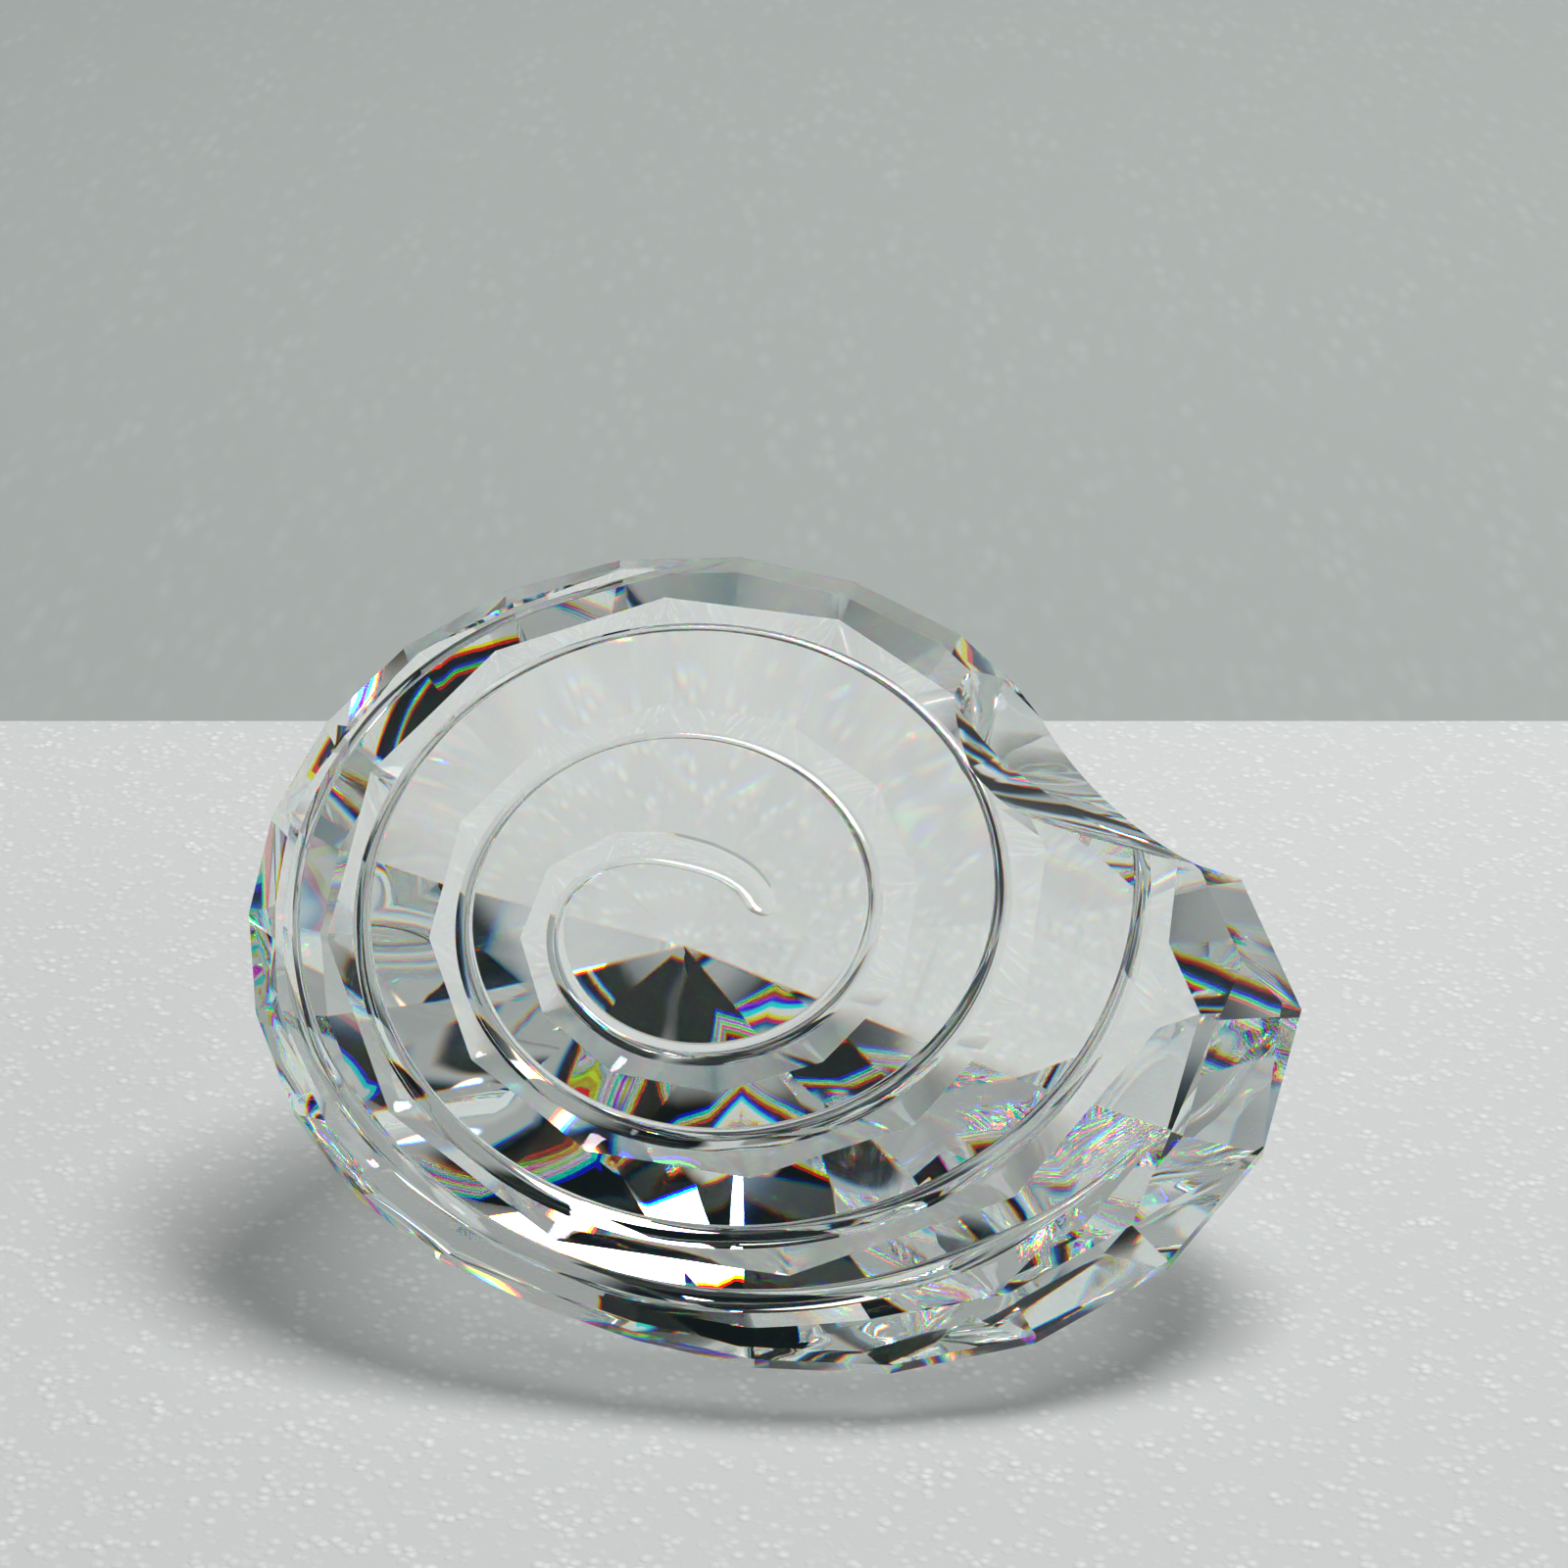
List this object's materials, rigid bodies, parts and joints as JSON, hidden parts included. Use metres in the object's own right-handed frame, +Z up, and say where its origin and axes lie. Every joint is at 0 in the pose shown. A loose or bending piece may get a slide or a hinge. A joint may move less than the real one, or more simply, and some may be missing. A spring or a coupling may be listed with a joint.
{
  "type": "crystal shell figurine",
  "caption": "Snail shell cut from one block of clear crystal: leaning table with a spiral groove, scooped mouth and faceted pointed back.",
  "frame": {"origin": "on the flat facet that it rests on, straight below the point where the axis of the spiral meets the table", "axes": "+Z up from the resting facet, +X towards the mouth, +Y away from the side that the table leans towards"},
  "size_m": [0.0749, 0.0575, 0.0398],
  "materials": {
    "crystal": "clear full-cut lead crystal with polished facets"
  },
  "bodies": {
    "root": {"crystal_shell": "crystal"}
  },
  "joints": []
}
